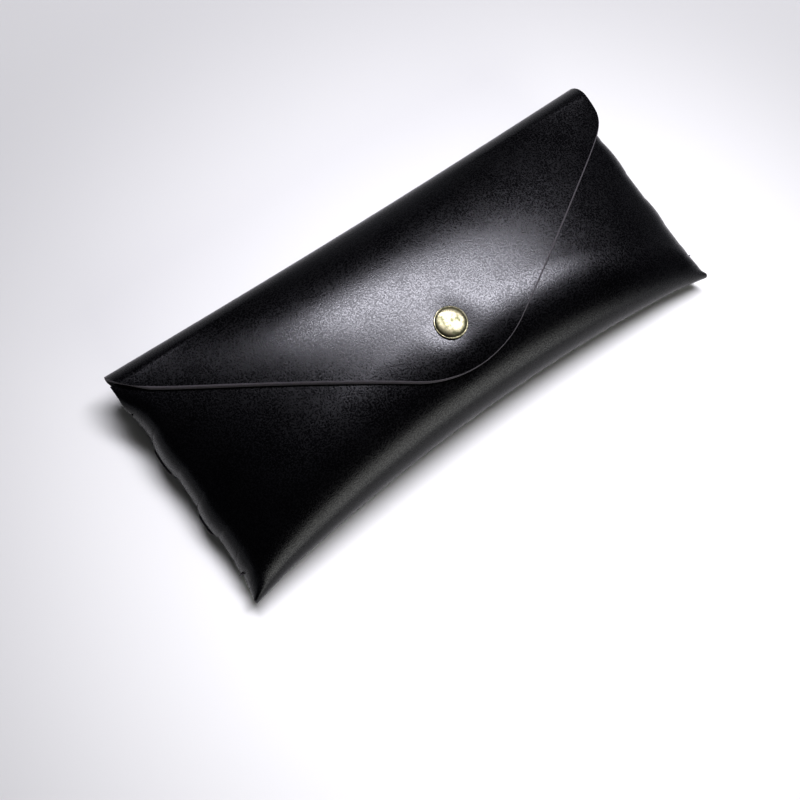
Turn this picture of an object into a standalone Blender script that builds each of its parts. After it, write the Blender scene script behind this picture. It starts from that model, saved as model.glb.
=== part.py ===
"""Soft pouch glasses case: one leather sheet folded round the glasses and closed by a press stud.

The case lies on its back. X runs along its length, +Y is the fold the flap turns on,
-Y is the bottom fold, and +Z is up out of the front. All sizes are in metres.
"""
import math

import bpy
import numpy as np

MM = 0.001

# --- overall size -------------------------------------------------------------
HALF_LENGTH = 87.5 * MM          # half of the case's length, over the side tabs
FOLD_Y = 37.5 * MM               # outermost line of the flap's fold
BOTTOM_Y = -37.5 * MM            # outermost line of the bottom fold, at its two corners
BOTTOM_BOW = 5.8 * MM            # how far the bottom fold draws in at the middle
LEATHER = 1.3 * MM               # thickness of the sheet
CLEARANCE = 0.3 * MM             # air between parts that touch on the real case

# --- the body's fullness ------------------------------------------------------
CORNER_NOSE = 4.5 * MM           # height of the bottom fold's outermost line, at the corners
MIDDLE_NOSE = 11.0 * MM          # the same, at the middle
CORNER_RISE = 1.6 * MM           # front above that line, at the corners
MIDDLE_RISE = 16.0 * MM          # front above that line, at the middle
MOUTH_HEIGHT = 16.3 * MM         # height the front heads for under the flap's fold
CORNER_UNDER = 2.9 * MM          # how far the back lifts off the table at the ends
FOLD_UNDER = 3.0 * MM            # how far the back lifts off the table at the flap's fold
CORNER_ROLL = 0.03               # width of the bottom fold's roll, as a share of the front
MIDDLE_ROLL = 0.42
UNDER_ROLL = 0.30                # the same below, at the middle
MOUTH = 0.90                     # where the front stops, as a share of the way to the fold
SEAM_LOW = 4.5 * MM              # height of the side seam at the bottom corner
SEAM_HIGH = 8.0 * MM             # height of the side seam at the mouth
SIDE_SLOPE = 9.0 * MM            # width over which front and back come together at a side
SIDE_EDGE = 84.8 * MM            # side edge of the front and the back

UNDER_TURN = -80.0               # where the back meets the bottom fold, in degrees of its roll
FRONT_TURN = 52.0                # where the front meets the bottom fold

# --- the flap and its fold ----------------------------------------------------
FOLD_RADIUS = 7.5 * MM
FOLD_CENTRE_Y = FOLD_Y - FOLD_RADIUS
FOLD_CENTRE_Z = 10.5 * MM
FOLD_LINES = (-60.0, 0.0, 60.0)  # the three bending lines, in degrees round the fold
FOLD_GAP = 1.3                   # half of the air at a bending line, in degrees
FLAP_LIFT = 1.7 * MM             # flap's outside above the front's outside
FLAP_SHOULDER_Y = 28.0 * MM      # where the flap's slanted edges leave the sides
FLAP_TIP_Y = -20.0 * MM
FLAP_TIP_RADIUS = 24.0 * MM
FLAP_TIP_FLAT = 2.4 * MM         # half width of the last row at the tip

# --- the press stud -----------------------------------------------------------
SNAP_Y = -6.0 * MM
SNAP_DIP = 2.0 * MM              # front pressed in round the stud
SNAP_DIP_RADIUS = 9.0 * MM
SNAP_LIFT = 2.1 * MM             # flap held up round the socket
SNAP_LIFT_RADIUS = 14.0 * MM
SOCKET_SEAT = 0.75 * MM          # socket's top plate below the flap's inside
STUD_SEAT = 0.7 * MM             # stud's flange above the front's outside
CAP_RADIUS = 5.0 * MM
HOLE_RADIUS = 1.7 * MM
ROUND_STEPS = 40

# --- side tabs: middle of each along Y, and its width -------------------------
TABS = ((19.6 * MM, 8.0 * MM), (-1.8 * MM, 9.7 * MM), (-21.0 * MM, 7.6 * MM), (-31.2 * MM, 4.0 * MM))
TAB_UNDER = 7.0 * MM             # how far a tab reaches in under the back
TAB_OVER = 2.2 * MM              # how far it reaches in over the front


def smooth(value):
    """Smooth step from 0 to 1."""
    value = np.clip(value, 0.0, 1.0)
    return value * value * (3.0 - 2.0 * value)


def mix(low, high, share):
    return low + (high - low) * share


def fullness(x):
    """1 at the middle of the case, 0 at its ends."""
    along = np.clip(np.abs(x) / HALF_LENGTH, 0.0, 1.0)
    return (1.0 - along ** 2.4) ** 0.75


def bottom_line(x):
    return BOTTOM_Y + BOTTOM_BOW * (1.0 - (x / HALF_LENGTH) ** 2)


def across(x, share):
    """Y at a share of the way from the bottom fold to the top of the flap's fold."""
    low = bottom_line(x)
    return low + (FOLD_CENTRE_Y - low) * share


def share_at(x, y):
    low = bottom_line(x)
    return (y - low) / (FOLD_CENTRE_Y - low)


def nose_height(x):
    return mix(CORNER_NOSE, MIDDLE_NOSE, fullness(x))


def seam_height(share):
    return mix(SEAM_LOW, SEAM_HIGH, np.clip(share, 0.0, 1.0))


def quarter(share, width):
    """Quarter round: 0 at the edge with an upright start, 1 from the given width on."""
    return np.sqrt(np.clip(1.0 - (1.0 - np.clip(share / width, 0.0, 1.0)) ** 2, 0.0, 1.0))


def seam_pull(x, share):
    """How far front and back are drawn to the side seam, 0 to 1."""
    inward = np.clip((SIDE_EDGE - np.abs(x)) / SIDE_SLOPE, 0.0, 1.0)
    near = 0.5 * (1.0 + np.cos(math.pi * inward))
    return near * smooth(share / 0.045) * (1.0 - smooth((share - 0.91) / 0.09))


def dip(x, y, depth, radius):
    away = (x ** 2 + (y - SNAP_Y) ** 2) / radius ** 2
    return depth * np.exp(-away)


def free_front_height(x, share):
    """Height of the front's outside without the side seam's pull and the stud's dip."""
    end_rise = CORNER_RISE + (MOUTH_HEIGHT - CORNER_NOSE - CORNER_RISE) * (1.0 - (1.0 - share) ** 1.5)
    past = np.clip((share - MIDDLE_ROLL) / (1.0 - MIDDLE_ROLL), 0.0, 1.0)
    drop = MIDDLE_NOSE + MIDDLE_RISE - MOUTH_HEIGHT
    middle_rise = MIDDLE_RISE - drop * 0.5 * (1.0 - np.cos(math.pi * past))
    full = fullness(x)
    rise = mix(end_rise, middle_rise, full)
    return nose_height(x) + rise * quarter(share, mix(CORNER_ROLL, MIDDLE_ROLL, full))


def front_height(x, share):
    """Height of the front's outside."""
    edge = seam_height(share) + LEATHER + CLEARANCE / 2
    height = mix(free_front_height(x, share), edge, seam_pull(x, share))
    return height - dip(x, across(x, share), SNAP_DIP, SNAP_DIP_RADIUS)


def back_height(x, share):
    """Height of the back's outside: flat on the table at the middle, lifted at the ends."""
    end = smooth((np.abs(x) / HALF_LENGTH - 0.6) / 0.4)
    to_fold = FOLD_UNDER * smooth((share - 0.72) / 0.28)
    flat = mix(to_fold, np.maximum(to_fold, CORNER_UNDER), end)
    width = mix(CORNER_ROLL, UNDER_ROLL, fullness(x))
    height = mix(nose_height(x), flat, quarter(share, width))
    return mix(height, seam_height(share) - LEATHER - CLEARANCE / 2, seam_pull(x, share))


def flap_height(x, y):
    """Height of the flap's outside, from the top of its fold to the tip."""
    height = free_front_height(x, share_at(x, y)) + FLAP_LIFT
    return height + dip(x, y, SNAP_LIFT, SNAP_LIFT_RADIUS)


def length_steps():
    """Stations along X, closer together at the two ends."""
    body = np.linspace(-0.88, 0.88, 23)
    end = np.array((0.92, 0.95, 0.98, 1.0))
    return np.concatenate((-end[::-1], body, end)) * SIDE_EDGE


def grid_normals(grid):
    along = np.gradient(grid, axis=0)
    over = np.gradient(grid, axis=1)
    normal = np.cross(along, over)
    return normal / np.linalg.norm(normal, axis=2, keepdims=True)


def inside_of(grid, thickness=LEATHER):
    """The same sheet's inside: each point moved in by the leather's thickness."""
    return grid - grid_normals(grid) * thickness


def solid_from_grids(name, outer, inner, material):
    """One closed body between two matching grids of points."""
    rows, columns = outer.shape[:2]
    count = rows * columns
    points = np.concatenate((outer.reshape(-1, 3), inner.reshape(-1, 3)))

    def at(row, column, layer):
        return layer * count + row * columns + column

    faces = []
    for row in range(rows - 1):
        for column in range(columns - 1):
            corner = (at(row, column, 0), at(row + 1, column, 0),
                      at(row + 1, column + 1, 0), at(row, column + 1, 0))
            faces.append(corner)
            faces.append(tuple(index + count for index in reversed(corner)))
    for row in range(rows - 1):
        faces.append((at(row, 0, 0), at(row, 0, 1), at(row + 1, 0, 1), at(row + 1, 0, 0)))
        last = columns - 1
        faces.append((at(row + 1, last, 0), at(row + 1, last, 1), at(row, last, 1), at(row, last, 0)))
    for column in range(columns - 1):
        faces.append((at(0, column + 1, 0), at(0, column + 1, 1), at(0, column, 1), at(0, column, 0)))
        last = rows - 1
        faces.append((at(last, column, 0), at(last, column, 1),
                      at(last, column + 1, 1), at(last, column + 1, 0)))
    return add_mesh(name, points, faces, material, smooth_faces=True)


def signed_volume(points, faces):
    total = 0.0
    for face in faces:
        first = points[face[0]]
        for index in range(1, len(face) - 1):
            total += np.dot(first, np.cross(points[face[index]], points[face[index + 1]])) / 6.0
    return total


def add_mesh(name, points, faces, material, smooth_faces, origin=(0.0, 0.0, 0.0)):
    """One object, faces facing out, with its origin at the given point."""
    points = np.asarray(points)
    if signed_volume(points, faces) < 0.0:
        faces = [tuple(reversed(face)) for face in faces]
    mesh = bpy.data.meshes.new(name)
    mesh.from_pydata((points - np.asarray(origin)).tolist(), [], [list(face) for face in faces])
    mesh.validate()
    mesh.polygons.foreach_set("use_smooth", [smooth_faces] * len(mesh.polygons))
    mesh.materials.append(material)
    body = bpy.data.objects.new(name, mesh)
    body.location = origin
    bpy.context.scene.collection.objects.link(body)
    return body


def turned(name, profile, centre, material):
    """A round part: a closed profile of (radius, height) turned about an upright line."""
    points, faces = [], []
    rings = []
    for radius, height in profile:
        if radius < 1e-9:
            rings.append([len(points)])
            points.append((0.0, 0.0, height))
            continue
        rings.append(list(range(len(points), len(points) + ROUND_STEPS)))
        for step in range(ROUND_STEPS):
            angle = 2.0 * math.pi * step / ROUND_STEPS
            points.append((radius * math.cos(angle), radius * math.sin(angle), height))
    pairs = list(zip(rings, rings[1:]))
    if len(rings[0]) > 1:
        pairs.append((rings[-1], rings[0]))
    for near, far in pairs:
        for step in range(ROUND_STEPS):
            following = (step + 1) % ROUND_STEPS
            if len(near) == 1:
                faces.append((near[0], far[following], far[step]))
            elif len(far) == 1:
                faces.append((near[step], near[following], far[0]))
            else:
                faces.append((near[step], near[following], far[following], far[step]))
    points = np.array(points) + np.asarray(centre)
    return add_mesh(name, points, faces, material, smooth_faces=True)


# --- materials ----------------------------------------------------------------
def plain_material(name, colour, roughness, metallic):
    material = bpy.data.materials.new(name)
    material.use_nodes = True
    shader = material.node_tree.nodes["Principled BSDF"]
    shader.inputs["Base Color"].default_value = (*colour, 1.0)
    shader.inputs["Roughness"].default_value = roughness
    shader.inputs["Metallic"].default_value = metallic
    return material


def leather_material(name):
    return plain_material(name, (0.012, 0.012, 0.015), 0.38, 0.0)


def brass_material(name):
    return plain_material(name, (0.50, 0.44, 0.26), 0.32, 1.0)


def steel_material(name):
    return plain_material(name, (0.55, 0.55, 0.56), 0.30, 1.0)


# --- the sheet's zones --------------------------------------------------------
def arc_points(x, degrees, depth=0.0):
    """Points round the flap's fold, at a depth inside its outer face."""
    angle = np.radians(degrees)
    grid = np.zeros((len(x), len(angle), 3))
    grid[:, :, 0] = x[:, None]
    grid[:, :, 1] = FOLD_CENTRE_Y + (FOLD_RADIUS - depth) * np.cos(angle)[None, :]
    grid[:, :, 2] = FOLD_CENTRE_Z + (FOLD_RADIUS - depth) * np.sin(angle)[None, :]
    return grid


def roll_share(x, turn, under):
    """Share of the way across that the bottom fold has reached at a turn, in degrees."""
    width = mix(CORNER_ROLL, UNDER_ROLL if under else MIDDLE_ROLL, fullness(x))
    return width * (1.0 - math.cos(math.radians(turn)))


def bottom_fold_grid(x, turns):
    """Points round the bottom fold, from under the case to its front."""
    grid = np.zeros((len(x), len(turns), 3))
    for column, turn in enumerate(turns):
        share = roll_share(x, turn, turn < 0.0)
        grid[:, column, 0] = x
        grid[:, column, 1] = across(x, share)
        grid[:, column, 2] = back_height(x, share) if turn < 0.0 else front_height(x, share)
    return grid


def panel_grid(x, start, finish, count, height):
    """Points of a panel between two lines of shares, one share per station along X."""
    grid = np.zeros((len(x), count, 3))
    for column, part in enumerate(np.linspace(0.0, 1.0, count)):
        share = mix(start, finish, part ** 1.25)
        grid[:, column, 0] = x
        grid[:, column, 1] = across(x, share)
        grid[:, column, 2] = height(x, share)
    return grid


def body_sheet():
    """Outside and inside of the sheet round the body, and where each zone of it starts and stops."""
    x = length_steps()
    gap = CLEARANCE / (FOLD_CENTRE_Y - bottom_line(x))
    rise = arc_points(x, np.linspace(FOLD_LINES[0] - FOLD_GAP, -90.0, 5)[:-1])
    back = panel_grid(x, roll_share(x, UNDER_TURN, True) + gap, np.ones_like(x), 18, back_height)
    turns = np.concatenate((np.linspace(UNDER_TURN, -12.0, 6), [0.0], np.linspace(12.0, FRONT_TURN, 5)))
    bottom = bottom_fold_grid(x, turns)
    front = panel_grid(x, roll_share(x, FRONT_TURN, False) + gap, np.full_like(x, MOUTH), 18, front_height)
    outer = np.concatenate((rise, back[:, ::-1], bottom, front), axis=1)
    back_end = rise.shape[1] + back.shape[1]
    bottom_end = back_end + bottom.shape[1]
    zones = {"back": slice(0, back_end), "bottom": slice(back_end, bottom_end),
             "front": slice(bottom_end, outer.shape[1])}
    return outer, inside_of(outer), zones


def sheet_zone(name, zone, material):
    outer, inner, zones = body_sheet()
    return solid_from_grids(name, outer[:, zones[zone]], inner[:, zones[zone]], material)


def hinge_fold(name, number, material):
    x = length_steps()
    degrees = np.linspace(FOLD_LINES[number] + FOLD_GAP, FOLD_LINES[number + 1] - FOLD_GAP, 6)
    return solid_from_grids(name, arc_points(x, degrees), arc_points(x, degrees, LEATHER), material)


def flap_half_width(y):
    """Half the flap's width: straight slanted edges running into a round tip."""
    centre = FLAP_TIP_Y + FLAP_TIP_RADIUS
    reach = FLAP_SHOULDER_Y - centre
    slant = math.atan2(reach, SIDE_EDGE) + math.asin(FLAP_TIP_RADIUS / math.hypot(reach, SIDE_EDGE))
    touch_y = centre - FLAP_TIP_RADIUS * math.cos(slant)
    touch_x = FLAP_TIP_RADIUS * math.sin(slant)
    if y >= FLAP_SHOULDER_Y:
        return SIDE_EDGE
    if y >= touch_y:
        return touch_x + (SIDE_EDGE - touch_x) * (y - touch_y) / (FLAP_SHOULDER_Y - touch_y)
    return math.sqrt(max(FLAP_TIP_RADIUS ** 2 - (centre - y) ** 2, 0.0))


def flap_rows():
    """Stations down the flap, from the top of its fold to the tip."""
    centre = FLAP_TIP_Y + FLAP_TIP_RADIUS
    last = centre - math.sqrt(FLAP_TIP_RADIUS ** 2 - FLAP_TIP_FLAT ** 2)
    down = np.linspace(FOLD_CENTRE_Y, FLAP_TIP_Y + 3.0 * MM, 18)[1:]
    tip = mix(down[-1], last, np.array((0.4, 0.72, 0.92, 1.0)))
    return np.concatenate((down, tip))


def flap(material):
    across_steps = length_steps() / SIDE_EDGE
    fold = arc_points(length_steps(), np.linspace(FOLD_LINES[2] + FOLD_GAP, 90.0, 5))
    rows = []
    for y in flap_rows():
        x = across_steps * flap_half_width(y)
        rows.append(np.stack((x, np.full_like(x, y), flap_height(x, y)), axis=1))
    outer = np.concatenate((fold, np.stack(rows, axis=1)), axis=1)[:, ::-1]
    return solid_from_grids("flap", outer, inside_of(outer), material)


def cut_hole(body):
    """The snap's hole through a sheet."""
    bpy.ops.mesh.primitive_cylinder_add(vertices=ROUND_STEPS, radius=HOLE_RADIUS, depth=60.0 * MM,
                                        location=(0.0, SNAP_Y, 30.0 * MM))
    cutter = bpy.context.active_object
    cutter.name = body.name + "_hole_cutter"
    cutter.hide_render = True
    cutter.display_type = "WIRE"
    hole = body.modifiers.new("snap hole", "BOOLEAN")
    hole.operation = "DIFFERENCE"
    hole.solver = "EXACT"
    hole.object = cutter
    return body


def side_tab(name, side, middle, width, material):
    """A tab of the sheet drawn round the stacked side edges and in under the back."""
    half_stack = LEATHER + 1.5 * CLEARANCE
    bend = HALF_LENGTH - half_stack - LEATHER
    over = bend - TAB_OVER * np.array((1.0, 0.5))
    under = bend - TAB_UNDER * np.array((0.2, 0.4, 0.6, 0.8, 1.0))
    turns = np.radians(np.linspace(90.0, -90.0, 11))
    y_steps = middle + width * np.linspace(-0.5, 0.5, 4)
    outer = np.zeros((len(y_steps), len(over) + len(turns) + len(under), 3))
    inner = np.zeros_like(outer)
    for row, y in enumerate(y_steps):
        seam = float(seam_height(share_at(SIDE_EDGE, y)))
        for layer, away in ((outer, CLEARANCE + LEATHER), (inner, CLEARANCE)):
            radius = half_stack - CLEARANCE + away
            top = front_height(over, share_at(over, y)) + away
            low = back_height(under, share_at(under, y)) - away
            layer[row, :, 0] = side * np.concatenate((over, bend + radius * np.cos(turns), under))
            layer[row, :, 1] = y
            layer[row, :, 2] = np.concatenate((top, seam + radius * np.sin(turns), low))
    return solid_from_grids(name, outer, inner, material)


# --- the press stud -----------------------------------------------------------
def snap_parts(brass, steel):
    """Cap, socket and spring on the flap; stud and post on the front."""
    front_top = float(front_height(np.array(0.0), share_at(np.array(0.0), SNAP_Y)))
    flap_top = float(flap_height(np.array(0.0), SNAP_Y))
    flap_under = flap_top - LEATHER
    front_under = front_top - LEATHER
    centre = (0.0, SNAP_Y, 0.0)
    turned("snap_cap", cap_profile(flap_top + CLEARANCE, flap_under), centre, brass("snap_cap_brass"))
    turned("snap_socket", socket_profile(flap_under - SOCKET_SEAT), centre, brass("snap_socket_brass"))
    turned("snap_spring", spring_profile(flap_under - SOCKET_SEAT - 1.25 * MM), centre, steel("snap_spring_steel"))
    turned("snap_stud", stud_profile(front_top + STUD_SEAT), centre, brass("snap_stud_brass"))
    turned("snap_post", post_profile(front_under - CLEARANCE, front_top), centre, brass("snap_post_brass"))


def cap_profile(base, flap_under):
    """Domed cap with a thin rolled rim, and the stem it is riveted by."""
    stem = 1.1 * MM
    foot = flap_under - SOCKET_SEAT - 0.35 * MM - CLEARANCE
    dome = [(CAP_RADIUS * math.sin(math.radians(a)) * 0.93,
             base + 0.75 * MM + 0.75 * MM * math.cos(math.radians(a))) for a in (0, 25, 45, 62, 78)]
    rim = [(CAP_RADIUS - 0.12 * MM, base + 0.78 * MM), (CAP_RADIUS, base + 0.5 * MM),
           (CAP_RADIUS - 0.1 * MM, base + 0.1 * MM), (CAP_RADIUS - 0.4 * MM, base)]
    under = [(stem, base), (stem, foot), (1.9 * MM, foot), (1.9 * MM, foot - 0.3 * MM)]
    return dome + rim + under + [(0.0, foot - 0.3 * MM)]


def socket_profile(top):
    """Round cup, open below, with a hole in its top plate for the cap's stem."""
    plate = top - 0.35 * MM
    return [(1.5 * MM, top), (4.4 * MM, top), (4.6 * MM, top - 0.2 * MM), (4.6 * MM, top - 1.55 * MM),
            (4.4 * MM, top - 1.75 * MM), (3.7 * MM, top - 1.75 * MM), (3.6 * MM, top - 1.6 * MM),
            (3.6 * MM, plate), (1.5 * MM, plate)]


def spring_profile(height):
    """Ring spring that grips the stud's neck."""
    centre, wire = 2.95 * MM, 0.3 * MM
    return [(centre + wire * math.cos(math.radians(a)), height + wire * math.sin(math.radians(a)))
            for a in range(0, 360, 45)]


def stud_profile(base):
    """Flanged stud with a round head, hollow below for the post."""
    return [(0.0, base + 1.7 * MM), (1.5 * MM, base + 1.7 * MM), (2.1 * MM, base + 1.5 * MM),
            (2.2 * MM, base + 1.2 * MM), (1.95 * MM, base + 0.8 * MM), (2.0 * MM, base + 0.4 * MM),
            (3.8 * MM, base + 0.35 * MM), (4.0 * MM, base + 0.2 * MM), (3.9 * MM, base),
            (1.4 * MM, base), (1.4 * MM, base + 1.1 * MM), (0.0, base + 1.1 * MM)]


def post_profile(top, front_top):
    """Flat-headed post inside the pouch, its stem up through the front into the stud."""
    tip = front_top + STUD_SEAT + 0.75 * MM
    return [(0.0, tip), (1.0 * MM, tip), (1.05 * MM, tip - 0.1 * MM), (1.05 * MM, top), (3.9 * MM, top),
            (4.1 * MM, top - 0.15 * MM), (4.0 * MM, top - 0.45 * MM), (0.0, top - 0.5 * MM)]


def clear_scene():
    for body in list(bpy.data.objects):
        bpy.data.objects.remove(body, do_unlink=True)


def build():
    clear_scene()
    sheet_zone("back_panel", "back", leather_material("back_panel_leather"))
    sheet_zone("bottom_fold", "bottom", leather_material("bottom_fold_leather"))
    cut_hole(sheet_zone("front_panel", "front", leather_material("front_panel_leather")))
    hinge_fold("hinge_fold_lower", 0, leather_material("hinge_fold_lower_leather"))
    hinge_fold("hinge_fold_upper", 1, leather_material("hinge_fold_upper_leather"))
    cut_hole(flap(leather_material("flap_leather")))
    for side, side_name in ((-1.0, "left"), (1.0, "right")):
        for number, (middle, width) in enumerate(TABS, start=1):
            name = f"{side_name}_tab_{number}"
            side_tab(name, side, middle, width, leather_material(name + "_leather"))
    snap_parts(brass_material, steel_material)


build()
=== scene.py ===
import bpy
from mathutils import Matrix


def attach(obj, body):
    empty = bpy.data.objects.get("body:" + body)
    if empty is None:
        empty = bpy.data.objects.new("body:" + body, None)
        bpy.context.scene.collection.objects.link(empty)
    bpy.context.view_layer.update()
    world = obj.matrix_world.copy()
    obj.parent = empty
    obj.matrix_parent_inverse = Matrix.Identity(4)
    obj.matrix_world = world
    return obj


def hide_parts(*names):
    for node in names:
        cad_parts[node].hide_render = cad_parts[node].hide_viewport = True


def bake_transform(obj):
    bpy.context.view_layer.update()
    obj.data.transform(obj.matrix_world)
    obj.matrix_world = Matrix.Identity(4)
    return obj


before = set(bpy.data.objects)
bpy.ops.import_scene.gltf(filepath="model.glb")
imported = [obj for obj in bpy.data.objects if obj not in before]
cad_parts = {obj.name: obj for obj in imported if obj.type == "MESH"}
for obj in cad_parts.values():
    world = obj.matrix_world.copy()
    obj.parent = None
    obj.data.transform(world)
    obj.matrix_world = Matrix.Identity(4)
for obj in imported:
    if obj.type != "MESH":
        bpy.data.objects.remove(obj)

"""Soft pouch glasses case: the leather sheet, its raw edges and tabs, and the press stud.

Lengths in the shape functions are in millimetres. Meshes are scaled to metres when they are made.
The case lies on its back: X along its length, +Y the fold of the flap, +Z up out of the front.
"""
import math

import bpy
import numpy as np
from mathutils import Matrix, Vector

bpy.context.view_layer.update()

bl_info = {
    "name": "Soft pouch glasses case",
    "version": (1, 0, 0),
    "blender": (4, 5, 0),
    "location": "3D View > Sidebar > Glasses case",
    "description": "Builds a folded leather pouch for glasses with a pointed flap and a press stud",
    "category": "Add Mesh",
}

MM = 0.001

# Where the side tabs sit along Y, and how wide each is.
TABS = ((19.6, 8.0), (-1.8, 9.7), (-21.0, 7.6), (-31.2, 4.0))

# Distances along the sheet from the fold's outermost line to where one zone of leather meets the next.
FOLD_SPLITS = (-11.0, -3.93, 3.93, 11.0)


def millimetres(name, description, default, low, high):
    return bpy.props.FloatProperty(name=name, description=description, default=default, min=low, max=high)


def paint(name, description, default):
    return bpy.props.FloatVectorProperty(
        name=name, description=description, subtype="COLOR", size=3, default=default, min=0.0, max=1.0)


class CaseSizes(bpy.types.PropertyGroup):
    """Sizes of the case, in millimetres."""

    half_length: millimetres("Half length", "Half of the length over the sides", 85.4, 60.0, 110.0)
    fold_y: millimetres("Fold line", "Outermost line of the flap's fold", 37.4, 25.0, 50.0)
    fold_sag: millimetres("Fold sag", "How far the fold draws in at the middle", 1.5, 0.0, 5.0)
    bottom_y: millimetres("Bottom line", "Bottom fold at its corners", -37.4, -50.0, -25.0)
    bottom_bow: millimetres("Bottom bow", "How far the bottom fold draws in at the middle", 6.0, 0.0, 12.0)
    leather: millimetres("Leather", "Thickness of the sheet", 1.3, 0.8, 2.5)
    middle_rise: millimetres("Fullness", "Height of the front above the bottom fold's line, at the middle",
                             15.5, 6.0, 24.0)
    tip_reach: millimetres("Flap reach", "Along the leather from the fold's line to the flap's tip",
                           64.0, 40.0, 90.0)
    tip_radius: millimetres("Tip radius", "Roundness of the flap's tip", 33.3, 8.0, 50.0)
    tip_shift: millimetres("Tip shift", "How far the flap's tip lies to the right of the middle",
                           1.7, -10.0, 10.0)
    shoulder_left: millimetres(
        "Left shoulder", "Along the leather from the fold's line to where the left edge slants",
        9.3, -4.0, 30.0)
    shoulder_right: millimetres(
        "Right shoulder", "Along the leather from the fold's line to where the right edge slants",
        19.8, -4.0, 30.0)
    flap_left: millimetres("Flap left", "From the middle to the flap's left end", 85.4, 60.0, 110.0)
    flap_right: millimetres("Flap right", "From the middle to the flap's right end", 86.6, 60.0, 110.0)
    shoulder_round: millimetres("Shoulder round", "Softness of the flap's shoulders", 3.5, 0.1, 8.0)
    cap_width: millimetres("Cap", "Width of the press stud's cap", 9.8, 8.0, 15.0)
    cap_y: millimetres("Cap place", "Middle of the press stud along Y", -7.7, -20.0, 10.0)


class CaseColours(bpy.types.PropertyGroup):
    """Colours of the case."""

    leather: paint("Leather", "Finished side of the leather", (0.0018, 0.0017, 0.0024))
    flesh: paint("Flesh side", "Rough side of the leather", (0.022, 0.021, 0.023))
    cut_edge: paint("Cut edge", "Raw cut edge of the leather", (0.08, 0.074, 0.079))
    brass: paint("Brass", "Aged brass of the press stud", (0.27, 0.25, 0.172))


# --- small helpers --------------------------------------------------------------------------------
def smooth(value):
    value = np.clip(value, 0.0, 1.0)
    return value * value * (3.0 - 2.0 * value)


def mix(low, high, share):
    return low + (high - low) * share


def quarter(share, width):
    """0 at the edge with an upright start, 1 from the given width on."""
    return np.sqrt(np.clip(1.0 - (1.0 - np.clip(share / width, 0.0, 1.0)) ** 2, 0.0, 1.0))


def rise(value, start, width):
    """0 before the start, 1 once the width is past, and smooth between."""
    return smooth((value - start) / width)


# --- the shape of the case ------------------------------------------------------------------------
# Millimetres, unless a comment says share. A share is the way across the body, seen from above:
# 0 at the bottom fold's outermost line, 1 where the flap's leather leaves its fold.
CORNER_X = 87.5        # the bows of the bottom and of the fold are measured out to here
EMPTY_X = 88.0         # the case's fullness has gone by here
FULL_POWERS = (2.4, 0.75)    # how flat the fullness is at the middle, and how blunt at the ends
CORNER_NOSE = 4.4      # height of the bottom fold's outermost line at the corners
MIDDLE_NOSE = 9.7      # and at the middle
CORNER_RISE = 1.6      # how far the front rises above that line at the corners
CORNER_UNDER = 2.9     # how far the back is lifted off the table at the corners
CORNER_ROLL = 0.03     # share that the round of the bottom fold takes up at the corners
MIDDLE_ROLL = 0.42     # and at the middle, on the front
UNDER_ROLL = 0.30      # and at the middle, underneath
MOUTH = 0.90           # share at which the front ends, under the flap
MOUTH_CORNER = 1.02    # and at its two ends
FRONT_FALL = 3.2       # how late the full front falls towards the mouth
CORNER_EAR = 0.9       # how far the bottom corners point outward
CORNER_SPREAD = 1.3    # how much further the side reaches at the bottom corners
MOUTH_SPREAD = 0.8     # and at the mouth
SIDE_BULGE = 0.7       # how far the side stands out between two tabs
SIDE_BASE = 0.9        # how far the side lies inside the half length at a tab
SIDE_INSET = 1.5       # how far inside the half length the evenly spaced stations end
TAB_START = 0.9        # how far in from the side a tab starts
TAB_ROUND = 2.2        # width of a tab's round under the side
TAB_UNDER = 7.0        # how far in from the side a tab reaches under the back
TAB_TUCK = (1.6, 2.0)  # how far a tab then runs on and up into its slot
UPPER_SPAN = 28.5      # Y at which the longest bare span, above the first tab, starts
WHOLE_SPAN = 11.0      # a bare span of this length stands out in full
UNDER_TAB = -2.2       # where the back's edge lies from the side at a tab
BARE_LIP = 0.45        # and between tabs
SEAM_LOW = 4.5         # height of the side at the bottom
SEAM_HIGH = 8.0        # and at the mouth
SEAM_END = 0.045       # share over which the joined side starts at the bottom
FRONT_LIP = 0.6        # how far the front's edge lies above the seam
BACK_LIP = 1.4         # how far the back's edge lies below the seam
SIDE_SLOPE = 7.0       # width over which the front rolls down to the side
SIDE_RIM = 2.0         # width of the tighter round at the very side
SLOPE_POWER = 3.4      # how late that wide roll starts
UNDER_SLOPE = 9.0      # width over which the back rolls up to the side
CORNER_FOLD = 6.3      # radius of the flap's fold at the ends
MIDDLE_FOLD = 9.0      # and at the middle
CORNER_FOLD_Z = 11.3   # height of the fold's middle line at the ends
MIDDLE_FOLD_Z = 12.4   # and at the middle
FOLD_LEAN = math.radians(30.0)
FOLD_TUCK = 2.0        # how far the leather under the fold is drawn in
FLAP_GAP = 0.4         # between the front and the flap
TIP_LENGTH = 6.0       # length of the flap's tip that is drawn with closer points
EDGE_SLANT = 0.7       # how far the flap's cut slants outward below its finished side
STUD_PULL = (2.2, 8.0)       # depth and width of the hollow that the stud pulls into the front
CAP_PRESS = (0.75, 6.5)      # depth and width of the hollow round the cap, in the flap
CAP_SWELL = (0.25, 13.0)     # height and width of the swell round that hollow
ROUND_END = math.radians(60.0)    # turn at which the bottom's round hands over to the front
FOLD_POINTS = 160      # points over the fold in a profile of the flap
ALONG_STEP = 0.25      # spacing of the flap's table of points along the leather


def fullness(x):
    """1 at the full middle of the case, 0 at its ends."""
    along = np.clip(np.abs(x) / EMPTY_X, 0.0, 1.0)
    return (1.0 - along ** FULL_POWERS[0]) ** FULL_POWERS[1]


def bottom_line(case, x):
    ear = CORNER_EAR * rise(np.abs(x) / CORNER_X, start=0.84, width=0.14)
    return case.bottom_y - ear + case.bottom_bow * (1.0 - (x / CORNER_X) ** 2)


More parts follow.
